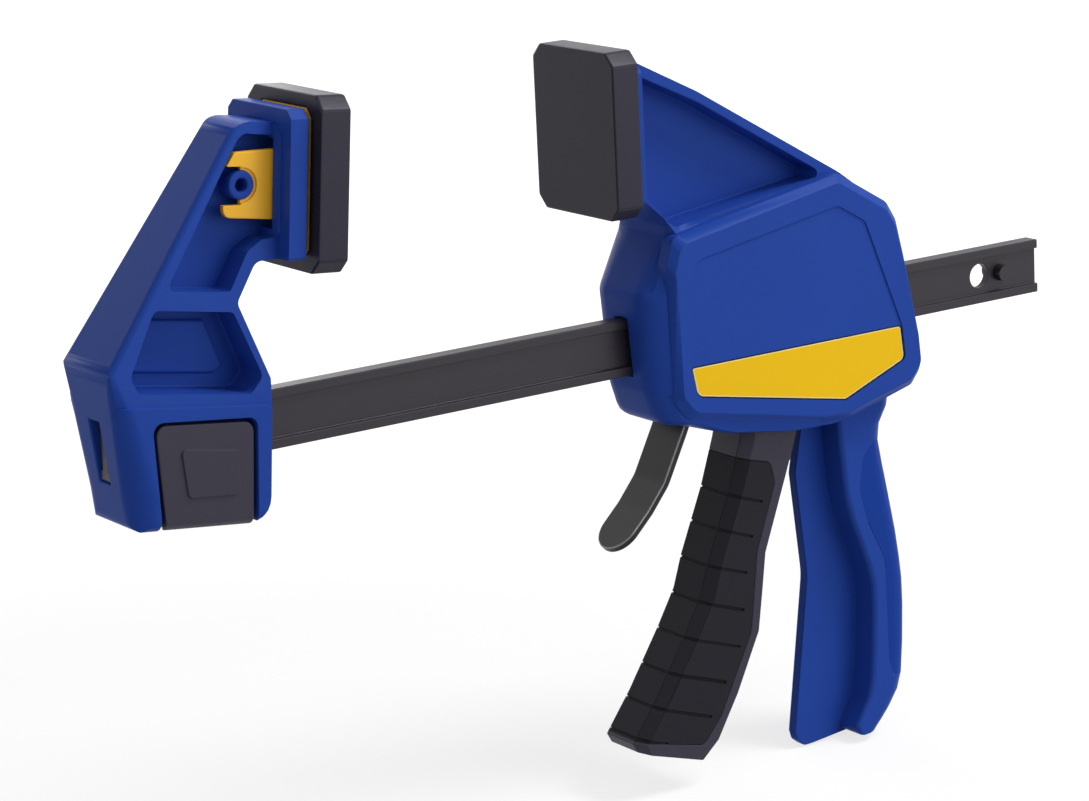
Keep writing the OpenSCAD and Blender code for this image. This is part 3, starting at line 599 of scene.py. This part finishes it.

# %% [markdown]
# ## The moving jaw
# The moving jaw is one moulding too, from its arm down to the grip. The back of the grip and the front
# of the trigger have a soft skin moulded on. Each skin is a piece of its own, and its roundings are
# given a painted shade, darker than the skin, which draws the shaded seam round it without any further
# shape.

# %% The moving jaw
TRIGGER_ROUND = 0.0005
PALM_ROUND = 0.0004
TRIGGER_SKIN_ROUND = 0.0003
rounded("moving_jaw", "jaw", blue_nylon, JAW_ROUND)
rounded("moving_pad", "jaw", pad_rubber, PAD_ROUND)
# The palm skin's roundings get a painted seam shade, darker than the skin
rounded("palm_grip", "jaw", blue_skin, PALM_ROUND, blue_seam_painted_shade)
rounded("trigger", "trigger", charcoal, TRIGGER_ROUND)
# The trigger skin's roundings get a painted seam shade, darker than the skin
rounded("trigger_grip", "trigger", charcoal_skin, TRIGGER_SKIN_ROUND, dark_seam_painted_shade)

# %% [markdown]
# ## The bar and the lever
# The bar is drawn to its section and the release lever is punched from sheet, so their edges are
# crisper than the body's. A narrow rounding keeps them so and still lets them catch the light.

# %% The steel parts
BAR_ROUND = 0.0004
LEVER_ROUND = 0.0005
rounded("bar", "frame", black_steel, BAR_ROUND)
# The lever's roundings get the painted highlight, lighter than its oxide
rounded("release_lever", "release_lever", lever_steel, LEVER_ROUND, lever_edge_painted_highlight)

# %% [markdown]
# ## Springs
# Each spring is squeezed between a seat at its high end and a part that moves. What shows is a
# copy of its coil, smoothly shaded and in bright steel, that rides on a body.

# %% Springs
COIL_EDGE = math.radians(50)


def closing_spring(node, body):
    """A smoothed copy of a coil in bright steel, riding on a body."""
    piece = opened_copy(node, "_coil")
    bpy.ops.object.mode_set(mode="OBJECT")
    bpy.ops.object.shade_smooth_by_angle(angle=COIL_EDGE)
    coated(piece, bright_steel)
    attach(piece, body)
    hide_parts(node)
    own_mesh(piece)


closing_spring("button_spring", "frame")
closing_spring("drive_spring", "jaw")
closing_spring("brake_spring", "jaw")

# %% [markdown]
# ## Labels
# Each label is a film in a shallow recess: yellow, with a pale printed rim inside a dark outline. The
# outline and the rim could be a picture, but as strips of the face itself, made by two insets, they
# stay sharp from any distance.

# %% Printed films
FILM_GRAIN = 0.000004
label_film = moulded("label_film", (0.94, 0.57, 0.012), shade=0.97, gloss=0.3, grain=FILM_GRAIN)
label_rim = moulded("label_rim", (0.95, 0.78, 0.3), shade=0.97, gloss=0.3, grain=FILM_GRAIN)
label_outline = moulded("label_outline", (0.006, 0.009, 0.03), gloss=0.4, grain=FILM_GRAIN)
print("films:", label_film.name, label_rim.name, label_outline.name)

# %% Labels
OUTLINE_W = 0.0005
RIM_W = 0.0004
# The outer face is the one that faces its own side at least this squarely
SQUARELY = 0.9
NEAR_SIDE = -1
FAR_SIDE = 1


def printed_label(node, side):
    """A copy of a label whose outer face has an outline and a rim."""
    piece = opened_copy(node, "_film")
    bpy.ops.mesh.dissolve_limited(angle_limit=FLAT)
    bpy.ops.mesh.select_all(action="DESELECT")
    bpy.ops.object.mode_set(mode="OBJECT")
    coated(piece, label_outline, label_rim, label_film)
    for face in piece.data.polygons:
        face.select = face.normal.y * side > SQUARELY
        face.material_index = 0
    for index, width in enumerate((OUTLINE_W, RIM_W)):
        bpy.ops.object.mode_set(mode="EDIT")
        bpy.ops.mesh.inset(thickness=width, depth=0, use_even_offset=True)
        bpy.ops.object.mode_set(mode="OBJECT")
        for face in piece.data.polygons:
            if face.select:
                face.material_index = index + 1
    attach(piece, "jaw")
    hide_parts(node)
    print(piece.name, len(piece.data.polygons), "faces")


printed_label("label_near", NEAR_SIDE)
printed_label("label_far", FAR_SIDE)

# %% [markdown]
# ## Pins and the drive plate
# The pins and the drive plate are small, and most of them are hidden inside. A rounding would hardly
# show, so these solids keep their own mesh and only get their steel.

# %% Solids that keep their own mesh
FINISHES = {
    "stop_pin": black_steel, "lock_pin": bright_steel, "pivot_pin": bright_steel,
    "drive_plate": plate_steel,
}
for node, finish in FINISHES.items():
    coated(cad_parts[node], finish)
print("plain solids finished:", len(FINISHES))

# %% [markdown]
# ## World and floor
# World and floor are bright where they are seen, by the camera or in a reflection, and darker for the
# rest of the light. So the background is clean and the clamp keeps its colours. More light would whiten
# the background too, but it would wash out the clamp. The Light Path node tells the two apart.

# %% What is seen directly
RAYS_THAT_SEE = ("Is Camera Ray", "Is Glossy Ray", "Is Transmission Ray")


def seen_directly(shader):
    """1 for rays from the camera and for mirrored or bent ones, and 0 for light on its way about."""
    path = shader.add("ShaderNodeLightPath", {}, {}).socket.node
    from_camera, mirrored, bent = (Value(shader, path.outputs[ray]) for ray in RAYS_THAT_SEE)
    return from_camera.larger(mirrored).larger(bent)


def chosen(shader, hidden, seen):
    """One surface or sky for what is seen directly, and a hidden one for all other light."""
    return shader.add("ShaderNodeMixShader", {}, {0: seen_directly(shader), 1: hidden, 2: seen})


print("told apart:", ", ".join(RAYS_THAT_SEE))

# %% The world
WHITE = (1, 1, 1, 1)
WORLD_LIGHT = 0.3

world = bpy.data.worlds.new("studio")
world.use_nodes = True
bpy.context.scene.world = world
sky = Shader(world.node_tree)
soft = sky.tree.nodes["Background"]
sky.put(soft.inputs["Color"], WHITE)
sky.put(soft.inputs["Strength"], WORLD_LIGHT)
white_sky = sky.add("ShaderNodeBackground", {}, {"Color": WHITE})
sky_view = chosen(sky, Value(sky, soft.outputs[0]), white_sky)
sky.put(sky.tree.nodes["World Output"].inputs["Surface"], sky_view)
print("world of strength", WORLD_LIGHT)

# %% The floor's finish
# The floor's grey where light is on its way about, and its grey where it is seen
PAPER_HIDDEN = 0.45
PAPER_SEEN = 0.3
PAPER_ROUGHNESS = 0.9
# Its own glow rises from this to white, between two distances from the origin
PAPER_GLOW = 0.74
GLOW_NEAR = 0.35
GLOW_FAR = 1.1


def grey(level):
    """A grey with its alpha."""
    return (level, level, level, 1)


paper = Finish("paper")
distance = paper.add("ShaderNodeVectorMath", {"operation": "LENGTH"}, {0: place_on(paper)}, 1)
glow = paper.add("ShaderNodeMapRange", {}, {
    "Value": distance, "From Min": GLOW_NEAR, "From Max": GLOW_FAR, "To Min": PAPER_GLOW, "To Max": 1.0})
paper.shade(
    Base_Color=grey(PAPER_SEEN),
    Roughness=PAPER_ROUGHNESS,
    Specular_IOR_Level=0,
    Emission_Color=glow,
    Emission_Strength=1.0)
dull = paper.add("ShaderNodeBsdfDiffuse", {}, {"Color": grey(PAPER_HIDDEN)})
paper_view = chosen(paper, dull, Value(paper, paper.surface.outputs[0]))
paper.put(paper.tree.nodes["Material Output"].inputs["Surface"], paper_view)
floor.data.materials.append(paper.material)
bpy.context.scene.view_settings.view_transform = "Standard"
print("floor finished as", paper.material.name)

# %% [markdown]
# ## Sizes, and the end
# A finish must not make the clamp any larger, so the box of all that shows is worked out and
# printed.

# %% Sizes
visual_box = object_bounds()
lowest, highest = ([round(x, 4) for x in corner] for corner in visual_box)
print("what shows reaches from", lowest, "to", highest)
